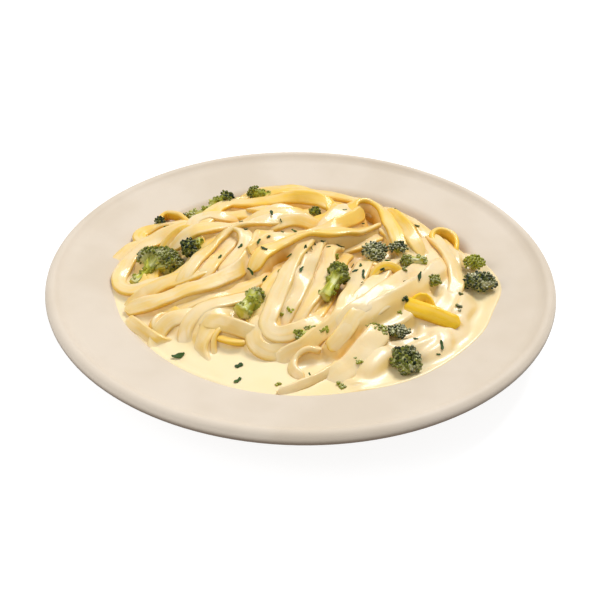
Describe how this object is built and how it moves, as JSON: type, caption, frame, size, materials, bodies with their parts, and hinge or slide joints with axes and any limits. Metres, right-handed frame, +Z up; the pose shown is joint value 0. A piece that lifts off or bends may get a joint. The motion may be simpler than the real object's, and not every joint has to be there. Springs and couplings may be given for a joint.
{
  "type": "fettuccine alfredo",
  "caption": "Plate of fettuccine alfredo: a heap of flat noodles in cream sauce with broccoli florets, on a round rimmed dinner plate.",
  "frame": {"origin": "centre of the plate's foot ring, on the surface that the plate stands on", "axes": "+Z up along the plate's axis, -Y towards the diner, where the sauce pools, +X to the right"},
  "size_m": [0.2598, 0.2598, 0.0442],
  "materials": {
    "plate": "warm off-white glaze, satin gloss",
    "sauce": "thick pale yellow cream sauce, glossy",
    "noodles": "cooked egg noodles coated with cream sauce, glossy",
    "broccoli": "cooked dark green buds and lime green stems, wet with sauce"
  },
  "bodies": {
    "root": {"plate": "plate", "sauce": "sauce", "noodles": "noodles", "broccoli_01": "broccoli", "broccoli_02": "broccoli", "broccoli_03": "broccoli", "broccoli_04": "broccoli", "broccoli_05": "broccoli", "broccoli_06": "broccoli", "broccoli_07": "broccoli", "broccoli_08": "broccoli", "broccoli_09": "broccoli", "broccoli_10": "broccoli", "broccoli_11": "broccoli", "broccoli_12": "broccoli", "broccoli_13": "broccoli", "broccoli_14": "broccoli", "broccoli_15": "broccoli", "broccoli_16": "broccoli", "broccoli_17": "broccoli", "broccoli_18": "broccoli", "broccoli_19": "broccoli"}
  },
  "joints": []
}
